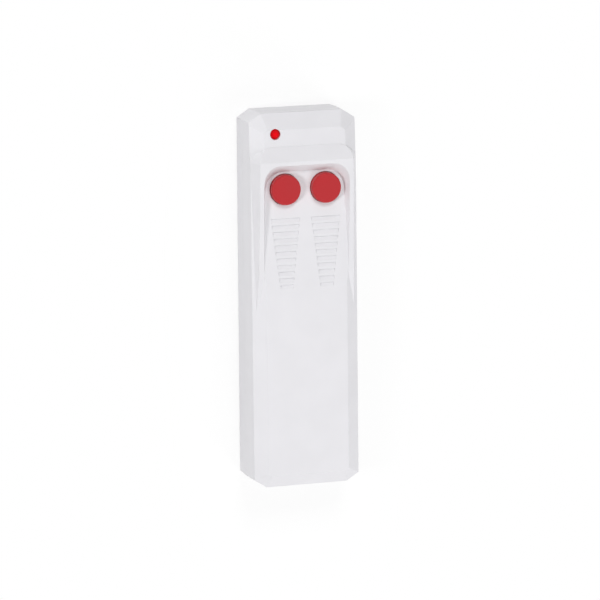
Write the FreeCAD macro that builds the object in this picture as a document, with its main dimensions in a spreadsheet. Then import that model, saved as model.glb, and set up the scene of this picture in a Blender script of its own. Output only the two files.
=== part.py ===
import FreeCAD, Part

import math
import os
import re

import Sketcher
from FreeCAD import Placement, Rotation, Vector

# A slim two-button radio key fob in millimetres, lying on its flat back.
# The origin is the centre of the back face, +X is the width, +Y runs along
# the length towards the lamp end and +Z comes out of the front.

doc = FreeCAD.newDocument("key_fob")
sheet = doc.addObject("Spreadsheet::Sheet", "Sizes")

# Driving sizes: alias, value, what it is. Places along the length are
# measured from the lamp end, and heights of the hood from the front's shoulder.
SIZES = [
    ("case_length", "112", "overall, at the parting line"),
    ("case_width", "33", "overall, at the parting line"),
    ("corner_across", "3.9", "corner cut, along the width"),
    ("corner_along", "2.5", "corner cut, along the length"),
    ("side_draft", "1.5", "draft of all side walls, degrees"),
    ("split_height", "6.7", "parting line above the back"),
    ("wall", "1.8", "wall of both shells"),
    ("back_edge", "0.6", "chamfer round the back face"),
    ("front_height", "16.1", "front above the back, at the shoulder"),
    ("heel_rise", "1.0", "front rises by this from the shoulder to the foot end"),
    ("nose_fall", "1.7", "front falls by this from the shoulder to the lamp end"),
    ("shoulder_start", "28", "shoulder from the lamp end"),
    ("bevel_run", "4.0", "bevel round the front, across"),
    ("bevel_drop", "2.45", "bevel round the front, down"),
    ("hood_inset", "0.25", "hood's sides inside the case's sides, at the bevel's foot"),
    ("hood_taper", "0.45", "hood narrows by this on each side towards its tips"),
    ("hood_foot", "3.0", "hood's base below the shoulder"),
    ("hood_draft", "26", "lean of the hood's outer walls, degrees"),
    ("hood_start", "9.85", "hood's ramp starts, from the lamp end"),
    ("hood_corner", "5.0", "radius of the hood's outer corners"),
    ("crest_start", "14.1", "hood's crest, from the lamp end"),
    ("crest_rise", "1.35", "hood's crest above the shoulder"),
    ("ramp_fall", "2.1", "hood's ramp falls by this from its crest to its start"),
    ("knee_start", "47.5", "rails come down to the shoulder's height here, from the lamp end"),
    ("tip_start", "58.6", "rails end here, from the lamp end"),
    ("tip_fall", "1.25", "rail tip below the shoulder"),
    ("recess_start", "17.3", "recess wall, from the lamp end, at the floor"),
    ("recess_width", "24.1", "recess floor beside the buttons"),
    ("recess_flare", "0.65", "recess widens by this on each side towards its foot end"),
    ("recess_side_lean", "26", "lean of the recess's side walls, degrees"),
    ("recess_end_lean", "37", "lean of the recess's end wall, degrees"),
    ("recess_corner", "6.4", "radius of the recess corners"),
    ("recess_end", "51.5", "recess floor runs out here, from the lamp end"),
    ("recess_depth", "1.13", "floor below the front, at the buttons"),
    ("floor_thick", "1.2", "wall under the recess"),
    ("groove_start", "31.1", "first grip groove, from the lamp end"),
    ("groove_pitch", "1.97", "between grip grooves"),
    ("groove_count", "11", "grip grooves in a column"),
    ("groove_depth", "0.32", "depth of a grip groove"),
    ("groove_run", "1.25", "length of a grip groove's long slope"),
    ("column_wide", "8.9", "groove column, at the buttons"),
    ("column_narrow", "3.7", "groove column, at its lower end"),
    ("button_row", "22.5", "button centres, from the lamp end"),
    ("button_spacing", "12.45", "between the button centres"),
    ("button_diameter", "9.0", "button cap"),
    ("button_gap", "0.15", "between cap and hole, all round"),
    ("button_proud", "1.95", "cap above the recess floor"),
    ("button_edge", "0.5", "rounded edge of the cap"),
    ("collar_diameter", "13.2", "guide collar inside the front"),
    ("collar_drop", "2.9", "collar's lower face below the shoulder"),
    ("flange_diameter", "10.9", "button's retaining flange"),
    ("flange_thick", "0.9", "button's retaining flange"),
    ("flange_gap", "0.08", "between flange and collar"),
    ("switch_side", "6.0", "side of a push switch"),
    ("switch_height", "4.3", "push switch over its plunger"),
    ("switch_base_height", "3.3", "moulded base of a push switch"),
    ("well_diameter", "4.3", "well in the switch base"),
    ("well_depth", "1.9", "well in the switch base"),
    ("dome_rise", "0.5", "contact dome"),
    ("dome_thick", "0.12", "contact dome"),
    ("plunger_foot", "4.0", "plunger inside the well, diameter"),
    ("plunger_stem", "3.3", "plunger through the cover, diameter"),
    ("cover_thick", "0.2", "sheet cover of the switch"),
    ("play", "0.05", "running gap inside the switch"),
    ("board_thick", "1.6", "circuit board"),
    ("board_gap", "0.4", "between board and walls"),
    ("board_foot", "9.0", "board ends this far from the foot end"),
    ("lead_hole", "1.0", "plated hole for a lead, diameter"),
    ("slot_gap", "0.15", "between a switch's leg and its slot, all round"),
    ("lamp_across", "7.5", "lamp, from the case's left side"),
    ("lamp_row", "6.1", "lamp, from the lamp end"),
    ("lamp_diameter", "3.0", "lamp"),
    ("lamp_gap", "0.1", "between lamp and hole, all round"),
    ("lamp_rise", "0.95", "lamp's top above the front's lamp end"),
    ("lamp_length", "5.3", "lamp without leads"),
    ("lamp_round", "1.2", "rounding of the lamp's top"),
    ("lamp_flange", "3.8", "lamp's base ring, diameter"),
    ("lamp_flange_thick", "1.0", "lamp's base ring"),
    ("lamp_lead_pitch", "2.54", "between the lamp's leads"),
    ("leg_width", "0.7", "flat leg of a switch"),
    ("leg_thick", "0.3", "flat leg of a switch"),
    ("leg_spread", "4.5", "between a switch's legs, along the length"),
    ("chip_across", "6.0", "encoder chip, left of the middle"),
    ("chip_row", "44", "encoder chip, from the lamp end"),
    ("chip_width", "7.5", "encoder chip's body"),
    ("chip_length", "10.3", "encoder chip's body"),
    ("chip_height", "2.2", "encoder chip's body"),
    ("chip_lift", "0.2", "encoder chip above the board"),
    ("chip_toe", "1.4", "reach of a chip leg"),
    ("chip_pitch", "1.27", "between chip legs"),
    ("chip_legs", "8", "chip legs on a side"),
    ("can_across", "7.3", "resonator can, right of the middle"),
    ("can_row", "42", "resonator can, from the lamp end"),
    ("can_diameter", "8.4", "resonator can"),
    ("can_flange", "9.3", "resonator can's base"),
    ("can_height", "3.4", "resonator can"),
    ("can_round", "0.4", "rounded edge of the can"),
    ("transistor_across", "2.0", "transistor, right of the middle"),
    ("transistor_row", "31.0", "transistor, from the lamp end"),
    ("transistor_diameter", "4.6", "transistor's body"),
    ("transistor_height", "4.2", "transistor's body"),
    ("transistor_lift", "1.0", "transistor above the board"),
    ("transistor_pitch", "1.27", "between the transistor's leads"),
    ("trimmer_across", "9.3", "trimmer, right of the middle"),
    ("trimmer_row", "31.5", "trimmer, from the lamp end"),
    ("trimmer_diameter", "6.0", "trimmer's base"),
    ("trimmer_height", "1.8", "trimmer's base"),
    ("resistor_across", "11.25", "outermost resistors, left of the middle"),
    ("resistor_row", "30.5", "first resistors, from the lamp end"),
    ("resistor_pitch", "3.4", "between resistors"),
    ("resistor_length", "2.0", "chip resistor"),
    ("resistor_width", "1.25", "chip resistor"),
    ("resistor_height", "0.55", "chip resistor"),
    ("capacitor_pitch", "4.6", "between capacitors"),
    ("capacitor_height", "0.9", "chip capacitor"),
    ("antenna_width", "26", "antenna loop"),
    ("antenna_high", "3.4", "antenna's far side, from the lamp end"),
    ("antenna_low", "13", "antenna's near side, from the lamp end"),
    ("antenna_feed", "3", "gap where the antenna is fed"),
    ("track", "1.0", "width of the antenna's track"),
    ("track_thick", "0.1", "height of the antenna's track"),
    ("lead_side", "0.5", "square component lead"),
    ("lead_stub", "0.8", "lead below the board"),
    ("battery_diameter", "10.3", "battery"),
    ("battery_length", "28.5", "battery over its cap"),
    ("battery_cap", "0.6", "height of the battery's cap"),
    ("battery_cap_diameter", "5.6", "battery's cap"),
    ("battery_start", "11.1", "battery's cap, from the foot end"),
    ("battery_lift", "0.4", "battery above the floor"),
    ("battery_side_gap", "0.35", "between battery and board"),
    ("spring_space", "6.9", "between battery and spring contact"),
    ("spring_wire", "0.6", "battery spring's wire"),
    ("spring_radius", "3.6", "battery spring at its wide end"),
    ("spring_turns", "4.5", "turns of the battery spring"),
    ("spring_steps", "12", "straight steps in a turn of the spring"),
    ("wire_sides", "6", "flat sides that stand for the spring's round wire"),
    ("contact_thick", "0.5", "battery contacts"),
    ("contact_shoulder", "14", "battery contacts, over their shoulders"),
    ("contact_tongue", "9", "battery contacts, below the board"),
    ("contact_above", "3.4", "battery contacts above the board"),
    ("contact_below", "3.6", "battery contacts below the board's top"),
    ("rim_height", "1.2", "rim of the back shell inside the front"),
    ("rim_gap", "0.1", "between rim and front shell"),
    ("post_diameter", "3.6", "board posts"),
    ("pin_diameter", "1.6", "locating pins on two board posts"),
    ("pin_gap", "0.1", "between pin and board, all round"),
    ("post_across", "11.2", "board posts, off the middle"),
    ("post_lamp_row", "14", "first board posts, from the lamp end"),
    ("post_mid_row", "60", "second board posts, from the lamp end"),
    ("post_foot_row", "99", "third board posts, from the lamp end"),
    ("screw_row", "6.0", "screw, from the foot end"),
    ("screw_head", "5.4", "screw head, diameter"),
    ("screw_shank", "2.6", "screw shank, diameter"),
    ("screw_length", "11", "screw, over all"),
    ("screw_sink", "0.2", "screw head below the back face"),
    ("screw_gap", "0.15", "between screw and hole, all round"),
    ("boss_diameter", "5.6", "screw bosses"),
    ("boss_gap", "0.1", "between the two screw bosses"),
    ("boss_stand", "0.5", "screw bosses meet this far above the board"),
    ("saddle_width", "11.5", "battery saddle ribs"),
    ("saddle_thick", "1.2", "battery saddle ribs"),
    ("saddle_rise", "2.2", "battery saddle ribs above the floor"),
    ("seat_gap", "0.05", "between battery and saddle"),
]

for row, (alias, text, note) in enumerate(SIZES, start=1):
    sheet.set(f"A{row}", note)
    sheet.set(f"B{row}", text)
    sheet.setAlias(f"B{row}", alias)
doc.recompute()

ALIASES = {alias for alias, _, _ in SIZES}

# Places and heights that several pieces share, as formulas of the sizes.
LAMP_END = "(case_length / 2)"
FOOT_END = "(-case_length / 2)"
BUTTON_Y = f"({LAMP_END} - button_row)"
SEAT_Z = "(front_height - collar_drop)"
FLANGE_TOP = f"({SEAT_Z} - flange_gap)"
FLANGE_LOW = f"({FLANGE_TOP} - flange_thick)"
BOARD_TOP = f"({FLANGE_LOW} - switch_height)"
BOARD_LOW = f"({BOARD_TOP} - board_thick)"
FRONT_SLOPE = "(heel_rise / (case_length - shoulder_start))"
FLOOR_AT_TAIL = f"(front_height + {FRONT_SLOPE} * (recess_end - shoulder_start))"
FLOOR_AT_BUTTONS = f"(front_height + {FRONT_SLOPE} * (button_row - shoulder_start) - recess_depth)"
FLOOR_SLOPE = f"(({FLOOR_AT_TAIL} - {FLOOR_AT_BUTTONS}) / (recess_end - button_row))"
HOOD_BASE = "(front_height - hood_foot)"
AXIS_Z = "(wall + battery_lift + battery_diameter / 2)"
BATTERY_Y = f"({FOOT_END} + battery_start)"
SCREW_Y = f"({FOOT_END} + screw_row)"
SPRING_Y = f"({BATTERY_Y} + battery_length + spring_space)"
BOSS_SPLIT = f"({BOARD_TOP} + boss_stand)"
LAMP_X = "(lamp_across - case_width / 2)"
LAMP_Y = f"({LAMP_END} - lamp_row)"
BASE_TOP = f"({BOARD_TOP} + switch_base_height)"
WELL_FLOOR = f"({BASE_TOP} - well_depth)"
DOME_TOP = f"({WELL_FLOOR} + dome_rise)"
TRANSISTOR_X = "transistor_across"
TRANSISTOR_Y = f"({LAMP_END} - transistor_row)"
CHIP_X = "(-chip_across)"
CHIP_Y = f"({LAMP_END} - chip_row)"
CAPACITOR_Y = f"(({CHIP_Y} - chip_length / 2 + {SPRING_Y} + contact_thick) / 2)"
RECESS_BASE = "(front_height - wall)"
SKY = "(front_height + heel_rise + wall + 2 * bevel_drop)"
SIDES = (("left", "-1"), ("right", "1"))
TERMINALS = [
    (f"{across} * (switch_side + leg_thick) / 2", f"{along} * leg_spread / 2")
    for across in ("-1", "1") for along in ("-1", "1")
]
CLOSE = 0.01


def formula(text):
    """The text with each alias named as a cell of the sheet."""
    return re.sub(r"[a-z_]+", lambda m: f"Sizes.{m[0]}" if m[0] in ALIASES else m[0], str(text))


def number(text):
    """The present value of a formula."""
    return float(sheet.evalExpression(formula(text)))


def bind(item, **sizes):
    """Ties properties of an object to formulas; a double underscore stands for a dot."""
    for name, text in sizes.items():
        item.setExpression(name.replace("__", "."), formula(text))


def new_body(name):
    body = doc.addObject("PartDesign::Body", name)
    body.Label = name
    return body


def sketch_on(body, name, role, offset="0"):
    """A sketch on one of the body's own origin planes, moved along its normal."""
    plane = next(f for f in body.Origin.OriginFeatures if f.Role == role)
    sketch = body.newObject("Sketcher::SketchObject", name)
    sketch.AttachmentSupport = [(plane, "")]
    sketch.MapMode = "FlatFace"
    bind(sketch, AttachmentOffset__Base__z=offset)
    return sketch


def place(sketch, geometry, corner, x, y):
    """Fixes one point of a sketch's geometry at two formulas."""
    for kind, text in (("DistanceX", x), ("DistanceY", y)):
        index = sketch.addConstraint(Sketcher.Constraint(kind, -1, 1, geometry, corner, number(text)))
        sketch.setExpression(f"Constraints[{index}]", formula(text))


def polygon(sketch, points):
    """A closed outline through points given as formulas."""
    spots = [Vector(number(x), number(y), 0) for x, y in points]
    first = sketch.GeometryCount
    count = len(points)
    for i in range(count):
        sketch.addGeometry(Part.LineSegment(spots[i], spots[(i + 1) % count]), False)
    for i in range(count):
        following = first + (i + 1) % count
        sketch.addConstraint(Sketcher.Constraint("Coincident", first + i, 2, following, 1))
    for i, (x, y) in enumerate(points):
        place(sketch, first + i, 1, x, y)


def rectangle(sketch, x, y, width, depth):
    """A rectangle centred on a point."""
    left, right = f"({x}) - ({width}) / 2", f"({x}) + ({width}) / 2"
    low, high = f"({y}) - ({depth}) / 2", f"({y}) + ({depth}) / 2"
    polygon(sketch, [(left, low), (right, low), (right, high), (left, high)])


def circle(sketch, x, y, diameter):
    centre = Vector(number(x), number(y), 0)
    radius = number(diameter) / 2
    index = sketch.addGeometry(Part.Circle(centre, Vector(0, 0, 1), radius), False)
    place(sketch, index, 3, x, y)
    bound = sketch.addConstraint(Sketcher.Constraint("Radius", index, radius))
    sketch.setExpression(f"Constraints[{bound}]", formula(f"({diameter}) / 2"))


def extrude(body, kind, name, sketch, length, taper="0", both=False, back=False):
    feature = body.newObject(kind, name)
    feature.Profile = sketch
    feature.Midplane = both
    feature.Reversed = back
    bind(feature, Length=length, TaperAngle=taper)
    doc.recompute()
    return feature


def pad(body, name, sketch, length, **options):
    return extrude(body, "PartDesign::Pad", name, sketch, length, **options)


def pocket(body, name, sketch, length, **options):
    """Cuts, and stops if nothing was cut."""
    before = body.Shape.Volume
    feature = extrude(body, "PartDesign::Pocket", name, sketch, length, **options)
    if not body.Shape.Volume < before:
        raise RuntimeError(f"{name} cuts nothing")
    return feature


def combine(body, name, kind, other):
    """Adds, cuts or keeps the common part of another body."""
    feature = body.newObject("PartDesign::Boolean", name)
    feature.Type = kind
    feature.setObjects([other])
    doc.recompute()
    return feature


def revolve(body, name, sketch, axis="V_Axis"):
    feature = body.newObject("PartDesign::Revolution", name)
    feature.Profile = sketch
    feature.ReferenceAxis = (sketch, [axis])
    feature.Angle = 360
    doc.recompute()
    return feature


def edges_where(shape, test):
    return [f"Edge{n}" for n, edge in enumerate(shape.Edges, start=1) if test(edge)]


def lies_at(height):
    """A test for edges that lie at a height given as a formula."""
    level = number(height)
    return lambda edge: edge.BoundBox.ZMin > level - CLOSE and edge.BoundBox.ZMax < level + CLOSE


def inside(reach, other, inset):
    """One leg of a sloping cut, after the walls on both its sides move inwards."""
    return f"({reach} - {inset} + {inset} * (sqrt({reach}^2 + {other}^2) - {reach}) / {other})"


def octagon(sketch, inset="0"):
    """The case's plan: a rectangle with its corners cut, moved inwards by the inset."""
    half = f"(case_width / 2 - {inset})"
    end = f"(case_length / 2 - {inset})"
    across = inside("corner_across", "corner_along", inset)
    along = inside("corner_along", "corner_across", inset)
    polygon(sketch, [
        (f"-{half} + {across}", f"-{end}"),
        (f"{half} - {across}", f"-{end}"),
        (half, f"-{end} + {along}"),
        (half, f"{end} - {along}"),
        (f"{half} - {across}", end),
        (f"-{half} + {across}", end),
        (f"-{half}", f"{end} - {along}"),
        (f"-{half}", f"-{end} + {along}"),
    ])


def front_region(sketch, inset):
    """The region above the front's side view: a slope, then a tangent arc to the lamp end."""
    heel = Vector(number(FOOT_END), number(f"front_height + heel_rise - {inset}"), 0)
    shoulder = Vector(number(f"{LAMP_END} - shoulder_start"), number(f"front_height - {inset}"), 0)
    nose = Vector(number(LAMP_END), number(f"front_height - nose_fall - {inset}"), 0)
    sky = number(SKY)
    along = (shoulder - heel).normalize()
    down = Vector(along.y, -along.x, 0)
    chord = nose - shoulder
    radius = chord.Length ** 2 / (2 * chord.dot(down))
    centre = shoulder + down * radius
    start = math.atan2(nose.y - centre.y, nose.x - centre.x)
    stop = math.atan2(shoulder.y - centre.y, shoulder.x - centre.x)
    line = sketch.addGeometry(Part.LineSegment(heel, shoulder), False)
    curve = Part.Circle(centre, Vector(0, 0, 1), radius)
    arc = sketch.addGeometry(Part.ArcOfCircle(curve, start, stop), False)
    corners = [nose, Vector(nose.x, sky, 0), Vector(heel.x, sky, 0), heel]
    sides = [sketch.addGeometry(Part.LineSegment(a, b), False) for a, b in zip(corners, corners[1:])]
    sketch.addConstraint(Sketcher.Constraint("Tangent", line, 2, arc, 2))
    sketch.addConstraint(Sketcher.Constraint("Coincident", arc, 1, sides[0], 1))
    sketch.addConstraint(Sketcher.Constraint("Coincident", sides[0], 2, sides[1], 1))
    sketch.addConstraint(Sketcher.Constraint("Coincident", sides[1], 2, sides[2], 1))
    sketch.addConstraint(Sketcher.Constraint("Coincident", sides[2], 2, line, 1))
    place(sketch, line, 1, FOOT_END, f"front_height + heel_rise - {inset}")
    place(sketch, line, 2, f"{LAMP_END} - shoulder_start", f"front_height - {inset}")
    place(sketch, arc, 1, LAMP_END, f"front_height - nose_fall - {inset}")
    place(sketch, sides[0], 2, LAMP_END, SKY)
    place(sketch, sides[1], 2, FOOT_END, SKY)


def cut_side_bevels(body, inset):
    """Cuts the long bevels: the front's side view pushed outwards and down."""
    run = inside("bevel_run", "bevel_drop", inset)
    for side, sign in (("left", "-1"), ("right", "1")):
        edge = f"{sign} * (case_width / 2 - {inset} - {run})"
        sketch = sketch_on(body, f"{body.Name}_{side}_edge", "YZ_Plane", edge)
        front_region(sketch, inset)
        feature = body.newObject("PartDesign::Pocket", f"{body.Name}_{side}_bevel")
        feature.Profile = sketch
        feature.UseCustomVector = True
        bind(feature, Length="2 * bevel_run", Direction__x=f"{sign} * bevel_run", Direction__z="-bevel_drop")
        doc.recompute()


def bevel_section(sketch, edge, height, sign):
    """The triangle above a bevel that starts at an outer edge and rises inwards."""
    reach = f"{edge} - {sign} * 2 * bevel_run"
    top = f"{height} + 2 * bevel_drop"
    polygon(sketch, [(edge, height), (reach, top), (edge, top)])


def cut_end_bevels(body, inset):
    """Cuts the bevels along both ends and across the four corners."""
    drop = inside("bevel_drop", "bevel_run", inset)
    rims = {
        "foot": f"front_height + heel_rise - {inset} - {drop}",
        "lamp": f"front_height - nose_fall - {inset} - {drop}",
    }
    slant = "sqrt(corner_across^2 + corner_along^2)"
    reach = "corner_along * case_width / 2 + corner_across * (case_length / 2 - corner_along)"
    corner = f"(({reach}) / {slant})"
    turn = "atan(corner_across / corner_along)"
    turns = {
        "foot": (f"-1 * {turn}", f"180 deg + {turn}"),
        "lamp": (turn, f"180 deg - {turn}"),
    }
    for end, sign in (("foot", "-1"), ("lamp", "1")):
        sketch = sketch_on(body, f"{body.Name}_{end}_rim", "YZ_Plane")
        bevel_section(sketch, f"{sign} * (case_length / 2 - {inset})", rims[end], sign)
        pocket(body, f"{body.Name}_{end}_bevel", sketch, "2 * case_width", both=True)
        for side, angle in zip(("right", "left"), turns[end]):
            sketch = sketch_on(body, f"{body.Name}_{end}_{side}_corner", "XZ_Plane")
            sketch.AttachmentOffset = Placement(Vector(), Rotation(Vector(0, 1, 0), 1))
            bind(sketch, AttachmentOffset__Rotation__Angle=angle)
            doc.recompute()
            bevel_section(sketch, f"{corner} - {inset}", rims[end], "1")
            pocket(body, f"{body.Name}_{end}_{side}_corner_bevel", sketch, "2 * case_width", both=True)


def lean(body, block, name, angle, outwards=False, test=lambda face: True):
    """Leans upright faces of a block going up from its lowest face, inwards or outwards."""
    faces = list(enumerate(block.Shape.Faces, start=1))
    base = min(faces, key=lambda item: item[1].CenterOfMass.z)
    upright = [n for n, face in faces if abs(face.normalAt(0, 0).z) < 0.5 and test(face)]
    draft = body.newObject("PartDesign::Draft", name)
    draft.Base = (block, [f"Face{n}" for n in upright])
    draft.NeutralPlane = (block, [f"Face{base[0]}"])
    draft.Reversed = outwards
    bind(draft, Angle=angle)
    doc.recompute()
    return draft


def case_block(name, inset="0"):
    """The case's octagon with leaning walls, from the parting line to above the hood."""
    body = new_body(name)
    plan = sketch_on(body, name + "_plan", "XY_Plane", "split_height")
    octagon(plan, inset)
    walls = pad(body, name + "_walls", plan, "front_height + crest_rise + wall - split_height")
    lean(body, walls, name + "_draft", "side_draft")
    return body


def crown(name, inset="0"):
    """The front's outer form, or its hollow: leaning walls, curved front and flat bevels."""
    body = case_block(name, inset)
    sketch = sketch_on(body, name + "_side", "YZ_Plane")
    front_region(sketch, inset)
    pocket(body, name + "_front", sketch, "2 * case_width", both=True)
    cut_side_bevels(body, inset)
    cut_end_bevels(body, inset)
    return body


def rounded(body, feature, name, radius, test):
    """Rounds the edges of a feature that pass a test."""
    fillet = body.newObject("PartDesign::Fillet", name)
    fillet.Base = (feature, edges_where(feature.Shape, test))
    bind(fillet, Radius=radius)
    doc.recompute()
    return fillet


def lamp_corner(edge):
    """True for a steep edge at the lamp end of a block."""
    box = edge.BoundBox
    return box.ZLength > max(box.XLength, box.YLength) and box.YMin > number(BUTTON_Y)


def faces_sideways(face):
    return abs(face.normalAt(0, 0).x) > 0.5


def faces_lamp_end(face):
    return face.normalAt(0, 0).y > 0.5


def slope(angle):
    """Sideways run for each unit of height of a wall that leans by a named angle."""
    return f"tan({angle} * 1 deg)"


def make_hood():
    """The raised hood: leaning sides and round corners, trimmed to its side view and the case."""
    body = new_body("hood")
    plan = sketch_on(body, "hood_plan", "XY_Plane", HOOD_BASE)
    low, high = f"({LAMP_END} - tip_start)", f"({LAMP_END} - hood_start)"
    wide = f"(case_width / 2 - hood_inset + (hood_foot - bevel_drop) * {slope('hood_draft')})"
    narrow = f"({wide} - hood_taper)"
    polygon(plan, [(f"-{narrow}", low), (narrow, low), (wide, high), (f"-{wide}", high)])
    block = pad(body, "hood_block", plan, "hood_foot + crest_rise + wall")
    leaning = lean(body, block, "hood_sides", "hood_draft", test=faces_sideways)
    rounded(body, leaning, "hood_corners", "hood_corner", lamp_corner)
    side = sketch_on(body, "hood_side", "YZ_Plane")
    crest = "front_height + crest_rise"
    top = f"{crest} + 2 * wall"
    polygon(side, [
        (low, "front_height - tip_fall"),
        (f"{LAMP_END} - knee_start", "front_height"),
        (f"{LAMP_END} - crest_start", crest),
        (high, f"{crest} - ramp_fall"),
        (high, top),
        (low, top),
    ])
    pocket(body, "hood_top", side, "2 * case_width", both=True)
    combine(body, "hood_in_case", "Common", case_block("hood_bounds"))
    return body


def floor_height(start):
    """Height of the recess floor at a distance from the lamp end."""
    return f"({FLOOR_AT_TAIL} - {FLOOR_SLOPE} * (recess_end - ({start})))"


def make_recess():
    """The space of the recess: round at the lamp end, walls leaning outwards, floor sloping."""
    body = new_body("recess")
    plan = sketch_on(body, "recess_plan", "XY_Plane", RECESS_BASE)
    sunk = f"({FLOOR_AT_BUTTONS} - {RECESS_BASE})"
    width = f"(recess_width - 2 * {sunk} * {slope('recess_side_lean')})"
    sunk = f"({floor_height('recess_start')} - {RECESS_BASE})"
    low = f"({LAMP_END} - tip_start)"
    high = f"({LAMP_END} - recess_start - {sunk} * {slope('recess_end_lean')})"
    polygon(plan, [
        (f"-{width} / 2 - recess_flare", low),
        (f"{width} / 2 + recess_flare", low),
        (f"{width} / 2", high),
        (f"-{width} / 2", high),
    ])
    block = pad(body, "recess_block", plan, "crest_rise + 2 * wall")
    leaning = lean(body, block, "recess_sides", "recess_side_lean", True, faces_sideways)
    leaning = lean(body, leaning, "recess_end_wall", "recess_end_lean", True, faces_lamp_end)
    rounded(body, leaning, "recess_corners", "recess_corner", lamp_corner)
    side = sketch_on(body, "recess_side", "YZ_Plane")
    first, last = "(recess_start - 2 * wall)", "(tip_start + wall)"
    polygon(side, [
        (f"{LAMP_END} - {last}", floor_height(last)),
        (f"{LAMP_END} - {first}", floor_height(first)),
        (f"{LAMP_END} - {first}", f"{RECESS_BASE} - wall"),
        (f"{LAMP_END} - {last}", f"{RECESS_BASE} - wall"),
    ])
    pocket(body, "recess_floor", side, "2 * case_width", both=True)
    return body


def make_backing():
    """Extra wall inside the front, so that the recess doesn't thin it."""
    body = new_body("backing")
    side = sketch_on(body, "backing_side", "YZ_Plane")
    first, last = "(recess_start - wall)", "recess_end"
    polygon(side, [
        (f"{LAMP_END} - {last}", f"{floor_height(last)} - floor_thick"),
        (f"{LAMP_END} - {first}", f"{floor_height(first)} - floor_thick"),
        (f"{LAMP_END} - {first}", "front_height - wall / 2"),
        (f"{LAMP_END} - {last}", "front_height - wall / 2"),
    ])
    pad(body, "backing_block", side, "recess_width + wall", both=True)
    return body


def make_grooves():
    """Two tapering columns of grip grooves, each a steep step and a long slope."""
    body = new_body("grooves")
    plan = sketch_on(body, "groove_columns", "XY_Plane", "front_height - wall")
    first, last = "groove_start", "(groove_start + groove_pitch * groove_count)"
    for sign in ("-1", "1"):
        middle = f"{sign} * button_spacing / 2"
        polygon(plan, [
            (f"{middle} - column_wide / 2", f"{LAMP_END} - {first}"),
            (f"{middle} - column_narrow / 2", f"{LAMP_END} - {last}"),
            (f"{middle} + column_narrow / 2", f"{LAMP_END} - {last}"),
            (f"{middle} + column_wide / 2", f"{LAMP_END} - {first}"),
        ])
    pad(body, "groove_blocks", plan, "2 * wall")
    bars = new_body("groove_bars")
    side = sketch_on(bars, "groove_section", "YZ_Plane")
    for i in range(round(number("groove_count"))):
        start = f"groove_start + {i} * groove_pitch"
        end = f"{start} + groove_run"
        polygon(side, [
            (f"{LAMP_END} - ({start})", f"{floor_height(start)} + groove_depth"),
            (f"{LAMP_END} - ({start})", f"{floor_height(start)} - groove_depth"),
            (f"{LAMP_END} - ({end})", floor_height(end)),
            (f"{LAMP_END} - ({end})", f"{floor_height(end)} + groove_depth"),
        ])
    pad(bars, "groove_rows", side, "recess_width", both=True)
    combine(body, "groove_cells", "Common", bars)
    return body


def make_front_shell():
    """The upper moulding."""
    body = crown("front_shell")
    combine(body, "front_with_hood", "Fuse", make_hood())
    combine(body, "front_hollowed", "Cut", crown("front_hollow", "wall"))
    combine(body, "front_backed", "Fuse", make_backing())
    combine(body, "front_with_recess", "Cut", make_recess())
    rebate = sketch_on(body, "rebate_plan", "XY_Plane", "split_height")
    octagon(rebate, "wall / 2")
    pocket(body, "rebate", rebate, "rim_height + rim_gap", back=True)
    for side, sign in SIDES:
        x = f"{sign} * button_spacing / 2"
        ring = sketch_on(body, f"collar_plan_{side}", "XY_Plane", SEAT_Z)
        circle(ring, x, BUTTON_Y, "collar_diameter")
        pad(body, f"collar_{side}", ring, "collar_drop - (wall + recess_depth) / 2")
    holes = sketch_on(body, "button_hole_plan", "XY_Plane", "front_height + wall")
    for side, sign in SIDES:
        circle(holes, f"{sign} * button_spacing / 2", BUTTON_Y, "button_diameter + 2 * button_gap")
    pocket(body, "button_holes", holes, "collar_drop + 2 * wall")
    combine(body, "front_with_grooves", "Cut", make_grooves())
    lamp = sketch_on(body, "lamp_hole_plan", "XY_Plane", "front_height")
    circle(lamp, LAMP_X, LAMP_Y, "lamp_diameter + 2 * lamp_gap")
    pocket(body, "lamp_hole", lamp, "nose_fall + 2 * wall")
    boss = sketch_on(body, "front_boss_plan", "XY_Plane", f"{BOSS_SPLIT} + boss_gap")
    circle(boss, "0", SCREW_Y, "boss_diameter")
    pad(body, "front_boss", boss, f"front_height + heel_rise - wall / 2 - {BOSS_SPLIT} - boss_gap")
    bore = sketch_on(body, "front_bore_plan", "XY_Plane", f"{BOSS_SPLIT} + boss_gap")
    circle(bore, "0", SCREW_Y, "screw_shank + 2 * play")
    pocket(body, "front_bore", bore, f"screw_sink + screw_length + wall / 2 - {BOSS_SPLIT}", back=True)
    return body


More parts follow.
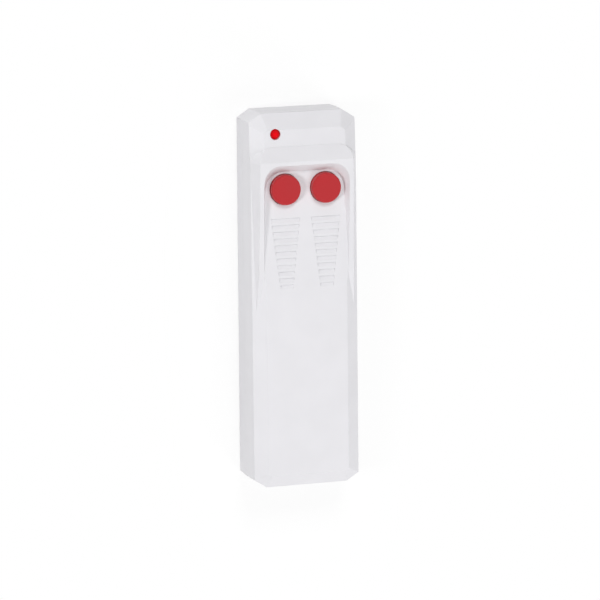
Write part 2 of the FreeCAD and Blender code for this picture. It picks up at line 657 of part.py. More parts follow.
def make_back_shell():
    """The lower moulding, with rim, board posts, battery saddles and screw post."""
    body = new_body("back_shell")
    plan = sketch_on(body, "back_plan", "XY_Plane", "0")
    octagon(plan, "(split_height * tan(side_draft * 1 deg))")
    block = pad(body, "back_block", plan, "split_height")
    leaning = lean(body, block, "back_draft", "side_draft", outwards=True)
    edge = body.newObject("PartDesign::Chamfer", "back_edge_bevel")
    edge.Base = (leaning, edges_where(leaning.Shape, lies_at("0")))
    bind(edge, Size="back_edge")
    doc.recompute()
    room = sketch_on(body, "room_plan", "XY_Plane", "split_height")
    octagon(room, "wall")
    pocket(body, "room", room, "split_height - wall")
    rim = sketch_on(body, "rim_plan", "XY_Plane", "split_height")
    octagon(rim, "(wall / 2 + rim_gap)")
    octagon(rim, "wall")
    pad(body, "rim", rim, "rim_height")
    posts = sketch_on(body, "post_plan", "XY_Plane", "wall")
    pins = sketch_on(body, "pin_plan", "XY_Plane", BOARD_LOW)
    for side, sign in SIDES:
        for row in ("post_lamp_row", "post_mid_row", "post_foot_row"):
            circle(posts, f"{sign} * post_across", f"{LAMP_END} - {row}", "post_diameter")
        circle(pins, f"{sign} * post_across", f"{LAMP_END} - post_mid_row", "pin_diameter")
    pad(body, "board_posts", posts, f"{BOARD_LOW} - wall")
    pad(body, "board_pins", pins, "board_thick + pin_gap")
    saddles = sketch_on(body, "saddle_plan", "XY_Plane", "wall")
    for share in ("1 / 4", "3 / 4"):
        rectangle(saddles, "0", f"{BATTERY_Y} + battery_length * {share}", "saddle_width", "saddle_thick")
    pad(body, "saddles", saddles, "saddle_rise")
    bed = sketch_on(body, "bed_plan", "XZ_Plane", f"-({BATTERY_Y} + battery_length / 2)")
    circle(bed, "0", AXIS_Z, "battery_diameter + 2 * seat_gap")
    pocket(body, "bed", bed, "battery_length", both=True)
    post = sketch_on(body, "back_boss_plan", "XY_Plane", "wall")
    circle(post, "0", SCREW_Y, "boss_diameter")
    pad(body, "back_boss", post, f"{BOSS_SPLIT} - wall")
    bore = sketch_on(body, "back_bore_plan", "XY_Plane", BOSS_SPLIT)
    circle(bore, "0", SCREW_Y, "screw_shank + 2 * screw_gap")
    pocket(body, "back_bore", bore, f"{BOSS_SPLIT} + wall")
    sink = sketch_on(body, "sink_section", "XZ_Plane", f"-{SCREW_Y}")
    wide, narrow = "(screw_head / 2 + screw_gap)", "(screw_shank / 2 + screw_gap)"
    depth = f"(screw_sink + {wide} - {narrow})"
    polygon(sink, [("0", "0"), (wide, "0"), (wide, "screw_sink"), (narrow, depth), ("0", depth)])
    groove = body.newObject("PartDesign::Groove", "countersink")
    groove.Profile = sink
    groove.ReferenceAxis = (sink, ["V_Axis"])
    groove.Angle = 360
    doc.recompute()
    return body


def turned(name, x, y, profile):
    """A turned piece about an upright axis; its profile starts and ends on the axis."""
    body = new_body(name)
    sketch = sketch_on(body, name + "_profile", "XZ_Plane", f"-({y})")
    polygon(sketch, [(f"({x}) + {radius}", height) for radius, height in profile])
    revolve(body, name + "_turned", sketch, f"Edge{len(profile)}")
    return body


def rounded_rim(radius, top, size, steps):
    """Profile points of a rounded rim, from its side up to its top, in short straight steps."""
    points = []
    for step in range(steps + 1):
        angle = math.pi / 2 * step / steps
        inwards, down = 1 - math.cos(angle), 1 - math.sin(angle)
        points.append((f"{radius} - {size} * {inwards:.4f}", f"{top} - {size} * {down:.4f}"))
    return points


def make_button(side, x):
    """A cap with a retaining flange that rests on the switch's plunger."""
    top = f"({floor_height('button_row')} + button_proud)"
    return turned(f"button_{side}", x, BUTTON_Y, [
        ("0", FLANGE_LOW),
        ("flange_diameter / 2", FLANGE_LOW),
        ("flange_diameter / 2", FLANGE_TOP),
        ("button_diameter / 2", FLANGE_TOP),
        *rounded_rim("button_diameter / 2", top, "button_edge", 2),
        ("0", top),
    ])


def make_switch(side, x):
    """A four-legged push switch: base with a well, sheet cover, dome, plunger and terminals."""
    base = new_body(f"switch_base_{side}")
    plan = sketch_on(base, f"switch_base_plan_{side}", "XY_Plane", BOARD_TOP)
    rectangle(plan, x, BUTTON_Y, "switch_side", "switch_side")
    pad(base, f"switch_base_block_{side}", plan, "switch_base_height")
    well = sketch_on(base, f"switch_well_plan_{side}", "XY_Plane", BASE_TOP)
    circle(well, x, BUTTON_Y, "well_diameter")
    pocket(base, f"switch_well_{side}", well, "well_depth")

    cover = new_body(f"switch_cover_{side}")
    plan = sketch_on(cover, f"switch_cover_plan_{side}", "XY_Plane", BASE_TOP)
    rectangle(plan, x, BUTTON_Y, "switch_side - cover_thick", "switch_side - cover_thick")
    circle(plan, x, BUTTON_Y, "plunger_stem + 2 * play")
    pad(cover, f"switch_cover_sheet_{side}", plan, "cover_thick")

    plunger = turned(f"switch_plunger_{side}", x, BUTTON_Y, [
        ("0", f"{DOME_TOP} + play"),
        ("plunger_foot / 2", f"{DOME_TOP} + play"),
        ("plunger_foot / 2", f"{BASE_TOP} - play"),
        ("plunger_stem / 2", f"{BASE_TOP} - play"),
        ("plunger_stem / 2", FLANGE_LOW),
        ("0", FLANGE_LOW),
    ])

    reach, crest = "(well_diameter / 2 - play)", "plunger_stem / 4"
    dome = turned(f"switch_dome_{side}", x, BUTTON_Y, [
        ("0", f"{DOME_TOP} - dome_thick"),
        (crest, f"{DOME_TOP} - dome_thick"),
        (f"{reach} - dome_thick", WELL_FLOOR),
        (reach, WELL_FLOOR),
        (crest, DOME_TOP),
        ("0", DOME_TOP),
    ])

    legs = new_body(f"switch_terminals_{side}")
    plan = sketch_on(legs, f"switch_terminal_plan_{side}", "XY_Plane", f"{BOARD_LOW} - lead_stub")
    for dx, dy in TERMINALS:
        rectangle(plan, f"({x}) + {dx}", f"{BUTTON_Y} + {dy}", "leg_thick", "leg_width")
    pad(legs, f"switch_terminal_legs_{side}", plan, "lead_stub + board_thick + switch_base_height / 3")
    return [base, cover, plunger, dome, legs]


def make_board():
    """The circuit board, with its battery opening and plated holes."""
    body = new_body("circuit_board")
    plan = sketch_on(body, "board_plan", "XY_Plane", BOARD_LOW)
    octagon(plan, "(wall + board_gap)")
    pad(body, "board_sheet", plan, "board_thick")
    foot = sketch_on(body, "board_foot_plan", "XY_Plane", BOARD_TOP)
    rectangle(foot, "0", FOOT_END, "case_width", "2 * board_foot")
    pocket(body, "board_foot_cut", foot, "board_thick")
    window = sketch_on(body, "board_window_plan", "XY_Plane", BOARD_TOP)
    low = f"({BATTERY_Y} - contact_thick - 2 * play)"
    high = f"({SPRING_Y} + contact_thick + 2 * play)"
    rectangle(window, "0", f"({low} + {high}) / 2",
              "battery_diameter + 2 * battery_side_gap", f"{high} - {low}")
    pocket(body, "board_window", window, "board_thick")
    holes = sketch_on(body, "board_hole_plan", "XY_Plane", BOARD_TOP)
    for _, sign in SIDES:
        circle(holes, f"{sign} * post_across", f"{LAMP_END} - post_mid_row", "pin_diameter + 2 * pin_gap")
        for dx, dy in TERMINALS:
            rectangle(holes, f"{sign} * button_spacing / 2 + {dx}", f"{BUTTON_Y} + {dy}",
                      "leg_thick + 2 * slot_gap", "leg_width + 2 * slot_gap")
        circle(holes, f"{LAMP_X} + {sign} * lamp_lead_pitch / 2", LAMP_Y, "lead_hole")
    for step in ("-1", "0", "1"):
        circle(holes, f"{TRANSISTOR_X} + {step} * transistor_pitch", TRANSISTOR_Y, "lead_hole")
    pocket(body, "board_holes", holes, "board_thick")
    return body


def group(name, base, height, spots, width, depth):
    """Like blocks on one level, each a separate solid."""
    body = new_body(name)
    plan = sketch_on(body, name + "_plan", "XY_Plane", base)
    for x, y in spots:
        rectangle(plan, x, y, width, depth)
    pad(body, name + "_blocks", plan, height)
    return body


def make_lamp():
    """The lamp: a round-topped body on a base ring, and its two leads."""
    top = "(front_height - nose_fall + lamp_rise)"
    low = f"({top} - lamp_length)"
    lamp = turned("led_lamp", LAMP_X, LAMP_Y, [
        ("0", low),
        ("lamp_flange / 2", low),
        ("lamp_flange / 2", f"{low} + lamp_flange_thick"),
        ("lamp_diameter / 2", f"{low} + lamp_flange_thick"),
        *rounded_rim("lamp_diameter / 2", top, "lamp_round", 3),
        ("0", top),
    ])
    spots = [(f"{LAMP_X} + {sign} * lamp_lead_pitch / 2", LAMP_Y) for _, sign in SIDES]
    height = f"{low} - {BOARD_LOW} + lead_stub"
    rods = group("led_leads", f"{BOARD_LOW} - lead_stub", height, spots, "lead_side", "lead_side")
    return [lamp, rods]


def make_chip():
    """The encoder chip, standing on two rows of bent legs."""
    body = new_body("encoder_chip")
    plan = sketch_on(body, "chip_plan", "XY_Plane", f"{BOARD_TOP} + chip_lift")
    rectangle(plan, CHIP_X, CHIP_Y, "chip_width", "chip_length")
    pad(body, "chip_block", plan, "chip_height")
    legs = new_body("encoder_legs")
    first = f"({CHIP_Y} - (chip_legs - 1) / 2 * chip_pitch - leg_width / 4)"
    section = sketch_on(legs, "chip_leg_section", "XZ_Plane", f"-({first} + leg_width / 2)")
    shoulder = f"({BOARD_TOP} + chip_lift + chip_height / 2)"
    for _, sign in SIDES:
        wall_x = f"({CHIP_X} + {sign} * chip_width / 2)"
        polygon(section, [
            (wall_x, shoulder),
            (f"{wall_x} + {sign} * chip_toe / 2", shoulder),
            (f"{wall_x} + {sign} * chip_toe / 2", f"{BOARD_TOP} + leg_thick"),
            (f"{wall_x} + {sign} * chip_toe", f"{BOARD_TOP} + leg_thick"),
            (f"{wall_x} + {sign} * chip_toe", BOARD_TOP),
            (f"{wall_x} + {sign} * (chip_toe / 2 - leg_thick)", BOARD_TOP),
            (f"{wall_x} + {sign} * (chip_toe / 2 - leg_thick)", f"{shoulder} - leg_thick"),
            (wall_x, f"{shoulder} - leg_thick"),
        ])
    pair = pad(legs, "chip_leg_pair", section, "leg_width / 2")
    row = legs.newObject("PartDesign::LinearPattern", "chip_leg_rows")
    row.Originals = [pair]
    row.Direction = (section, ["N_Axis"])
    row.Reversed = True
    bind(row, Length="(chip_legs - 1) * chip_pitch", Occurrences="chip_legs")
    legs.Tip = row
    doc.recompute()
    return [body, legs]


def make_board_parts():
    """What else is soldered to the board."""
    can = turned("resonator_can", "can_across", f"{LAMP_END} - can_row", [
        ("0", BOARD_TOP),
        ("can_flange / 2", BOARD_TOP),
        ("can_flange / 2", f"{BOARD_TOP} + can_height / 6"),
        ("can_diameter / 2", f"{BOARD_TOP} + can_height / 6"),
        *rounded_rim("can_diameter / 2", f"{BOARD_TOP} + can_height", "can_round", 1),
        ("0", f"{BOARD_TOP} + can_height"),
    ])
    transistor = new_body("transistor")
    plan = sketch_on(transistor, "transistor_plan", "XY_Plane", f"{BOARD_TOP} + transistor_lift")
    circle(plan, TRANSISTOR_X, TRANSISTOR_Y, "transistor_diameter")
    pad(transistor, "transistor_round", plan, "transistor_height")
    top = f"{BOARD_TOP} + transistor_lift + transistor_height"
    flat = sketch_on(transistor, "transistor_flat_plan", "XY_Plane", top)
    rectangle(flat, TRANSISTOR_X, f"{TRANSISTOR_Y} - transistor_diameter * 3 / 4",
              "2 * transistor_diameter", "transistor_diameter")
    pocket(transistor, "transistor_flat", flat, "transistor_height")
    spots = [(f"{TRANSISTOR_X} + {step} * transistor_pitch", TRANSISTOR_Y) for step in ("-1", "0", "1")]
    height = "lead_stub + board_thick + transistor_lift"
    rods = group("transistor_leads", f"{BOARD_LOW} - lead_stub", height, spots, "lead_side", "lead_side")
    base = turned("trimmer_base", "trimmer_across", f"{LAMP_END} - trimmer_row", [
        ("0", BOARD_TOP),
        ("trimmer_diameter / 2", BOARD_TOP),
        ("trimmer_diameter / 2", f"{BOARD_TOP} + trimmer_height"),
        ("0", f"{BOARD_TOP} + trimmer_height"),
    ])
    rotor = turned("trimmer_rotor", "trimmer_across", f"{LAMP_END} - trimmer_row", [
        ("0", f"{BOARD_TOP} + trimmer_height"),
        ("trimmer_diameter / 3", f"{BOARD_TOP} + trimmer_height"),
        ("trimmer_diameter / 3", f"{BOARD_TOP} + trimmer_height * 3 / 2"),
        ("0", f"{BOARD_TOP} + trimmer_height * 3 / 2"),
    ])
    slot = sketch_on(rotor, "trimmer_slot_plan", "XY_Plane", f"{BOARD_TOP} + trimmer_height * 3 / 2")
    rectangle(slot, "trimmer_across", f"{LAMP_END} - trimmer_row",
              "trimmer_diameter / 2", "trimmer_diameter / 10")
    pocket(rotor, "trimmer_slot", slot, "trimmer_height / 4")
    size = ("resistor_length", "resistor_width")
    rows = ("resistor_row", "(resistor_row + resistor_pitch)")
    spots = [
        (f"-resistor_across + {i} * resistor_pitch", f"{LAMP_END} - {row}")
        for i in range(3) for row in rows
    ]
    resistors = group("chip_resistors", BOARD_TOP, "resistor_height", spots, *size)
    spots = [(f"({i} - 3 / 2) * capacitor_pitch", CAPACITOR_Y) for i in range(4)]
    capacitors = group("chip_capacitors", BOARD_TOP, "capacitor_height", spots, *size)
    return [can, transistor, rods, base, rotor, resistors, capacitors]


def make_antenna():
    """The flat copper loop at the lamp end of the board, open where it is fed."""
    body = new_body("antenna_loop")
    plan = sketch_on(body, "antenna_plan", "XY_Plane", BOARD_TOP)
    low, high = f"({LAMP_END} - antenna_low)", f"({LAMP_END} - antenna_high)"
    out, feed = "antenna_width / 2", "antenna_feed / 2"
    polygon(plan, [
        (f"-{feed}", low),
        (f"-{feed}", f"{low} + track"),
        (f"-{out} + track", f"{low} + track"),
        (f"-{out} + track", f"{high} - track"),
        (f"{out} - track", f"{high} - track"),
        (f"{out} - track", f"{low} + track"),
        (feed, f"{low} + track"),
        (feed, low),
        (out, low),
        (out, high),
        (f"-{out}", high),
        (f"-{out}", low),
    ])
    pad(body, "antenna_track", plan, "track_thick")
    return body


def make_battery():
    """A small cylinder battery with its cap towards the foot end."""
    body = new_body("battery")
    section = sketch_on(body, "battery_profile", "YZ_Plane")
    polygon(section, [
        (BATTERY_Y, AXIS_Z),
        (BATTERY_Y, f"{AXIS_Z} + battery_cap_diameter / 2"),
        (f"{BATTERY_Y} + battery_cap", f"{AXIS_Z} + battery_cap_diameter / 2"),
        (f"{BATTERY_Y} + battery_cap", f"{AXIS_Z} + battery_diameter / 2"),
        (f"{BATTERY_Y} + battery_length", f"{AXIS_Z} + battery_diameter / 2"),
        (f"{BATTERY_Y} + battery_length", AXIS_Z),
    ])
    revolve(body, "battery_turned", section, "Edge6")
    return body


def make_contact(name, face):
    """A sheet contact whose shoulders stand on the board, its lamp-end face at a given place."""
    body = new_body(name)
    section = sketch_on(body, name + "_section", "XZ_Plane", f"-({face})")
    wide, narrow = "contact_shoulder / 2", "contact_tongue / 2"
    low, high = f"{BOARD_TOP} - contact_below", f"{BOARD_TOP} + contact_above"
    polygon(section, [
        (f"-{narrow}", low),
        (narrow, low),
        (narrow, BOARD_TOP),
        (wide, BOARD_TOP),
        (wide, high),
        (f"-{wide}", high),
        (f"-{wide}", BOARD_TOP),
        (f"-{narrow}", BOARD_TOP),
    ])
    pad(body, name + "_sheet", section, "contact_thick")
    return body


def make_spring():
    """The battery spring: rings of points along a helix about the battery's axis, joined by flat faces."""
    coil, wire = number("spring_radius"), number("spring_wire / 2")
    reach = number("spring_space - spring_wire - 2 * play")
    steps, sides = round(number("spring_steps * spring_turns")), round(number("wire_sides"))
    rings = []
    for step in range(steps + 1):
        angle = 2 * math.pi * step / number("spring_steps")
        outwards = Vector(math.cos(angle), 0, math.sin(angle))
        centre = outwards * coil - Vector(0, reach * step / steps, 0)
        turns = [2 * math.pi * side / sides for side in range(sides)]
        rings.append([centre + (outwards * math.cos(t) + Vector(0, math.sin(t), 0)) * wire for t in turns])
    corners = []
    for ring, following in zip(rings, rings[1:]):
        for side in range(sides):
            other = (side + 1) % sides
            corners.append((ring[side], ring[other], following[other]))
            corners.append((ring[side], following[other], following[side]))
    faces = [Part.Face(Part.makePolygon([*three, three[0]])) for three in corners]
    faces += [Part.Face(Part.makePolygon([*ring, ring[0]])) for ring in (rings[0], rings[-1])]
    spring = doc.addObject("Part::Feature", "battery_spring")
    spring.Shape = Part.Solid(Part.makeShell(faces))
    if spring.Shape.Volume < 0:
        spring.Shape = spring.Shape.reversed()
    start = f"{SPRING_Y} - spring_wire / 2 - play"
    bind(spring, Placement__Base__y=start, Placement__Base__z=AXIS_Z)
    doc.recompute()
    return spring


def make_screw():
    """The countersunk screw that holds the two shells together."""
    cone = "((screw_head - screw_shank) / 2)"
    tip = "(screw_sink + screw_length)"
    body = turned("case_screw", "0", SCREW_Y, [
        ("0", "screw_sink"),
        ("screw_head / 2", "screw_sink"),
        ("screw_shank / 2", f"screw_sink + {cone}"),
        ("screw_shank / 2", f"{tip} - screw_shank / 2"),
        ("screw_shank / 8", tip),
        ("0", tip),
    ])
    cross = sketch_on(body, "screw_cross_plan", "XY_Plane", "0")
    arm, half = "screw_head / 4", "screw_head / 16"
    polygon(cross, [
        (f"{a}", f"{SCREW_Y} + {b}") for a, b in (
            (f"-{arm}", f"-{half}"), (f"-{half}", f"-{half}"), (f"-{half}", f"-{arm}"),
            (half, f"-{arm}"), (half, f"-{half}"), (arm, f"-{half}"),
            (arm, half), (half, half), (half, arm),
            (f"-{half}", arm), (f"-{half}", half), (f"-{arm}", half))
    ])
    pocket(body, "screw_cross", cross, f"screw_sink + {cone}", back=True)
    return body


nodes = [make_front_shell(), make_back_shell(), make_screw(), make_board(), *make_lamp(), *make_chip()]
for side, sign in SIDES:
    x = f"{sign} * button_spacing / 2"
    nodes.append(make_button(side, x))
    nodes.extend(make_switch(side, x))
nodes.extend(make_board_parts())
nodes.append(make_antenna())
nodes.append(make_battery())
nodes.append(make_contact("battery_contact", BATTERY_Y))
nodes.append(make_contact("spring_contact", f"{SPRING_Y} + contact_thick"))
nodes.append(make_spring())
doc.recompute()

faults = [item.Name for item in doc.Objects if {"Invalid", "Error"} & set(item.State)]
faults += [node.Label for node in nodes if node.Shape.isNull() or not node.Shape.isValid()]
if faults:
    raise RuntimeError("failed: " + ", ".join(faults))

os.makedirs("parts", exist_ok=True)
for node in nodes:
    node.Shape.exportStep(f"parts/{node.Label}.step")
    box = node.Shape.BoundBox
    spans = [(box.XMin, box.XMax), (box.YMin, box.YMax), (box.ZMin, box.ZMax)]
    reach = "  ".join(f"{low:7.2f} {high:7.2f}" for low, high in spans)
    print(f"{node.Label:22s} {len(node.Shape.Solids):2d} solids {node.Shape.Volume:9.2f} mm3  {reach}")
print(len(nodes), "nodes")
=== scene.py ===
# %% [markdown]
# # A key fob, from solids to a picture
# The object is a slim radio key fob: an off-white moulded case with two red buttons, a red lamp
# and rows of grip grooves. Its solids were made to size beforehand, and this script gives them
# their finishes and stands the lights and the camera round them.
# It runs from top to bottom. Lengths are in metres, as everywhere in Blender.

import math

import bpy
from mathutils import Matrix, Vector


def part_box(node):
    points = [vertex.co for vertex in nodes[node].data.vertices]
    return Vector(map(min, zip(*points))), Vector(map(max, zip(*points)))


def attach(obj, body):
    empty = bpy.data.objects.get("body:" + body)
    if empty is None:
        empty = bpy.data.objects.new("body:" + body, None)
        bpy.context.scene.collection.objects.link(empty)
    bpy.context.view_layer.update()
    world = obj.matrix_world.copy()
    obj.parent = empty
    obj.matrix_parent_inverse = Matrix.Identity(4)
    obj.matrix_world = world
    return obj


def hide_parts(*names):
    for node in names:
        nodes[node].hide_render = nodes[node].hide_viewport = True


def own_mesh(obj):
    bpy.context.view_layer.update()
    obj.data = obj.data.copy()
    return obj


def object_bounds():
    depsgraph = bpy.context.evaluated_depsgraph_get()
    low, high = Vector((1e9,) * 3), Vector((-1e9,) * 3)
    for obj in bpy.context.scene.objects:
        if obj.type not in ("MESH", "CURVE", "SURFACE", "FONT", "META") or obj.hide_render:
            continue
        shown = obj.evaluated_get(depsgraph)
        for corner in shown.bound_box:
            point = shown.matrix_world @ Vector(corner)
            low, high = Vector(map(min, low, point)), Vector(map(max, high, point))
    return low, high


MM = 0.001
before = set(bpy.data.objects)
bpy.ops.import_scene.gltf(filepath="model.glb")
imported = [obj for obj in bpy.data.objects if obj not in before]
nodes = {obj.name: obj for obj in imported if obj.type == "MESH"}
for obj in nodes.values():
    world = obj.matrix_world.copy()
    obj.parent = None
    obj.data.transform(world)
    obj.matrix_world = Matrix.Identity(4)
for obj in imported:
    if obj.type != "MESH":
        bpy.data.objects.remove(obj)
cad_low, cad_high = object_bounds()
print(len(nodes), "solids loaded, size in mm:", [round(side / MM, 2) for side in cad_high - cad_low])

# %% [markdown]
# ## The camera
# The fob lies on its back with the lamp end away from the viewer. The photograph was taken from a
# little to the left and from beyond the lamp end, through a long lens, so the long sides look almost
# parallel. A camera can be aimed by hand or by a constraint. Here its turn is written as three
# small angles, because they were measured on the photograph's edges and corners.

# %% Aim the camera
YAW, PITCH, ROLL = math.radians(18.0), math.radians(10.96), math.radians(0.45)
DISTANCE = 1.201
PIXELS = 600
FOCAL_PIXELS = 4023
ORIGIN_AT = (289.97, 291.12)
CLIP_START = 0.05

scene = bpy.context.scene
turn = (
    Matrix.Rotation(ROLL, 3, "Z") @ Matrix.Rotation(PITCH, 3, "X") @ Matrix.Rotation(YAW, 3, "Y")
)
camera = bpy.data.objects.new("camera", bpy.data.cameras.new("camera"))
scene.collection.objects.link(camera)
camera.matrix_world = Matrix.Translation(turn[2] * DISTANCE) @ turn.transposed().to_4x4()
camera.data.lens = FOCAL_PIXELS / PIXELS * camera.data.sensor_width
camera.data.shift_x = (PIXELS / 2 - ORIGIN_AT[0]) / PIXELS
camera.data.shift_y = (ORIGIN_AT[1] - PIXELS / 2) / PIXELS
camera.data.clip_start = CLIP_START
scene.camera = camera
scene.view_settings.view_transform = "Standard"
print("camera at", [round(x, 3) for x in camera.location], "lens", round(camera.data.lens, 1), "mm")

# %% [markdown]
# ## Helpers for node trees
# The sky, the floor and every finish below are node trees. A tree can be clicked together in the
# shader editor; in a script each node takes several lines. These helpers bring that down to one
# call: a node is added with its settings, and each socket gets a number, a colour or a link.

# %% Add a node in one call
WHITE = (1.0, 1.0, 1.0)
OPAQUE = 1.0


def feed(tree, socket, value):
    """Fills a socket with a link, a colour or a number."""
    if isinstance(value, bpy.types.NodeSocket):
        tree.links.new(value, socket)
    elif socket.type == "RGBA":
        socket.default_value = (*value, OPAQUE)
    else:
        socket.default_value = value


def add_node(tree, kind, values=None, **settings):
    """A node with its settings made and the named or numbered sockets filled."""
    node = tree.nodes.new("ShaderNode" + kind)
    for name, setting in settings.items():
        setattr(node, name, setting)
    for socket, value in (values or {}).items():
        feed(tree, node.inputs[socket], value)
    return node


def arithmetic(tree, operation, first, second=0.0):
    """One step of arithmetic on numbers or patterns."""
    return add_node(tree, "Math", {0: first, 1: second}, operation=operation).outputs[0]


def mix_colors(tree, factor, first, second):
    """A colour between two others."""
    mix = add_node(tree, "Mix", data_type="RGBA")
    feed(tree, mix.inputs["Factor"], factor)
    feed(tree, mix.inputs["A"], first)
    feed(tree, mix.inputs["B"], second)
    return mix.outputs["Result"]


# %% [markdown]
# ## The sky
# The photograph looks as if it was taken in a light tent, which is bright and even all round. An
# even world does the same. It lights the fob at a low level, and the lamps add the rest. What the
# camera sees of it, directly, in a gloss or through something clear, is plain white.

# %% Light the world
WORLD_LEVEL = 0.2
WHITE_LEVEL = 1.0


def sees_white(tree):
    """1 for what the camera sees, directly, in a gloss or through something clear."""
    path = add_node(tree, "LightPath")
    seen = path.outputs["Is Camera Ray"]
    for kind in ("Is Glossy Ray", "Is Transmission Ray"):
        seen = arithmetic(tree, "MAXIMUM", seen, path.outputs[kind])
    return seen


def light_world(level):
    """An even white sky of the given level."""
    world = bpy.data.worlds.new("studio")
    world.use_nodes = True
    tree = world.node_tree
    sky = add_node(tree, "Background", {"Color": WHITE, "Strength": level})
    white = add_node(tree, "Background", {"Color": WHITE, "Strength": WHITE_LEVEL})
    mix = add_node(tree, "MixShader", {0: sees_white(tree), 1: sky.outputs[0], 2: white.outputs[0]})
    feed(tree, tree.nodes["World Output"].inputs["Surface"], mix.outputs[0])
    return world


scene.world = light_world(WORLD_LEVEL)
print("sky level", WORLD_LEVEL)

# %% [markdown]
# ## The lamps
# Six soft boxes stand round the fob. The one on the left is small and not very high: it makes the
# left bevel the brightest face and lets the recess's left rail throw a soft shadow on the floor of
# the recess. Two stand beyond the lamp end. The high one lights the hood and draws a dark line
# under each grip groove's step, and the low one lights the end wall. The others stand at the foot
# and on the right. The four wide ones are there because small lamps would draw hard shadows all
# round. In a light tent a glossy surface shows the tent and not the lamps behind it, so gloss
# doesn't see the boxes, and the front doesn't turn white when it is seen at a low angle.

# %% Set up six soft boxes
BOX_DISTANCE = 1.2
# Each box has its compass angle and its height in degrees, its side in metres and its power in watts.
SOFT_BOXES = {
    "left_box": (180, 36, 0.25, 6.2),
    "lamp_end_box": (90, 48, 0.4, 5.6),
    "low_lamp_end_box": (90, 14, 0.5, 0.8),
    "foot_box": (270, 30, 0.5, 2.0),
    "right_box": (315, 52, 0.5, 3.2),
    "low_right_box": (315, 12, 0.5, 4.4),
}


def add_soft_box(name, compass, height, size, watts):
    """A square lamp at a compass angle and a height angle that faces the fob."""
    aim = Matrix.Rotation(math.radians(compass), 3, "Z") @ Matrix.Rotation(math.radians(-height), 3, "Y")
    lamp = bpy.data.objects.new(name, bpy.data.lights.new(name, "AREA"))
    lamp.data.size = size
    lamp.data.energy = watts
    lamp.location = aim @ Vector((BOX_DISTANCE, 0, 0))
    lamp.rotation_euler = (-lamp.location).to_track_quat("-Z", "Y").to_euler()
    lamp.visible_glossy = False
    scene.collection.objects.link(lamp)
    return lamp


for name, setting in SOFT_BOXES.items():
    box = add_soft_box(name, *setting)
    print(name, "at", [round(x, 2) for x in box.location])

# %% [markdown]
# ## The floor
# The background of the photograph is pure white, with no more than a breath of shadow. A floor that
# only glowed would lose the shadow that shows how the fob lies on it, and a plain white floor
# would turn grey away from the lamps. So the floor is white paint that takes a little of the
# shadow close to the fob, and it fades into plain white further out.

# %% Lay the floor
FLOOR_SIZE = 8.0
FLAT = 0.0
SEEN_PAINT = (0.97, 0.97, 0.97)
BOUNCE_PAINT = (0.75, 0.75, 0.75)
SHADOW_START, SHADOW_STOP = 1.0, 2.4
SHADOW_SHARE = 0.2


def floor_paint():
    """White paint that shows some shadow near the fob and is plain white elsewhere."""
    paint = bpy.data.materials.new("floor_paint")
    paint.use_nodes = True
    tree = paint.node_tree
    tree.nodes.clear()
    place = add_node(tree, "NewGeometry").outputs["Position"]
    # The fob is centred on the origin, so its high corner gives half its width and half its length.
    scale = [1 / half for half in cad_high.xy] + [FLAT]
    scaled = add_node(tree, "Mapping", {"Vector": place, "Scale": scale}).outputs[0]
    away = add_node(tree, "VectorMath", {0: scaled}, operation="LENGTH").outputs["Value"]
    ends = {"From Min": SHADOW_START, "From Max": SHADOW_STOP, "To Min": 1 - SHADOW_SHARE}
    fade = add_node(tree, "MapRange", {"Value": away, **ends}).outputs[0]
    share = arithmetic(tree, "MULTIPLY", fade, sees_white(tree))
    paint_color = mix_colors(tree, sees_white(tree), BOUNCE_PAINT, SEEN_PAINT)
    matt = add_node(tree, "BsdfDiffuse", {"Color": paint_color})
    glow = add_node(tree, "Emission", {"Color": WHITE, "Strength": WHITE_LEVEL})
    mix = add_node(tree, "MixShader", {0: share, 1: matt.outputs[0], 2: glow.outputs[0]})
    add_node(tree, "OutputMaterial", {"Surface": mix.outputs[0]})
    return paint


bpy.ops.mesh.primitive_plane_add(size=FLOOR_SIZE)
floor = bpy.context.object
floor.name = "floor"
floor.data.materials.append(floor_paint())
print("floor", FLOOR_SIZE, "m wide")

# %% [markdown]
# ## Patterns
# A real surface is never one flat colour. It has a fine grain, a slow change of tone, and places
# that differ. The helpers here make a cloudy pattern of a given size, stretch it between two
# levels, mix two colours by it and press it into the surface. All read the object's own
# coordinates, so the pattern stays on the piece when it moves.

# %% Make patterns
# A noise lies mostly between these two values.
NOISE_LOW, NOISE_HIGH = 0.35, 0.65


def object_place(tree):
    """Where a point lies on the object."""
    return add_node(tree, "TexCoord").outputs["Object"]


def along(tree, axis):
    """Where a point lies along one axis of the object."""
    return add_node(tree, "SeparateXYZ", {0: object_place(tree)}).outputs[axis]


def from_axis(tree, middle):
    """How far a point lies from the upright line through a middle point."""
    flat = add_node(tree, "Mapping", {"Vector": object_place(tree), "Scale": (1, 1, FLAT)}).outputs[0]
    centre = (middle.x, middle.y, FLAT)
    return add_node(tree, "VectorMath", {0: flat, 1: centre}, operation="DISTANCE").outputs["Value"]


def noise(tree, size, detail=3.0, stretch=(1, 1, 1)):
    """A cloudy pattern whose lumps are about the given size."""
    scale = [1 / (size * s) for s in stretch]
    place = add_node(tree, "Mapping", {"Vector": object_place(tree), "Scale": scale}).outputs[0]
    return add_node(tree, "TexNoise", {"Vector": place, "Scale": 1.0, "Detail": detail}).outputs["Fac"]


def spread(tree, value, low, high, start=NOISE_LOW, stop=NOISE_HIGH):
    """Stretches a range of a pattern over two levels."""
    ends = {"From Min": start, "From Max": stop, "To Min": low, "To Max": high}
    return add_node(tree, "MapRange", {"Value": value, **ends}).outputs["Result"]


def shade(color, share):
    """A lighter or darker version of a colour."""
    return tuple(min(1.0, part * share) for part in color)


print("patterns ready")

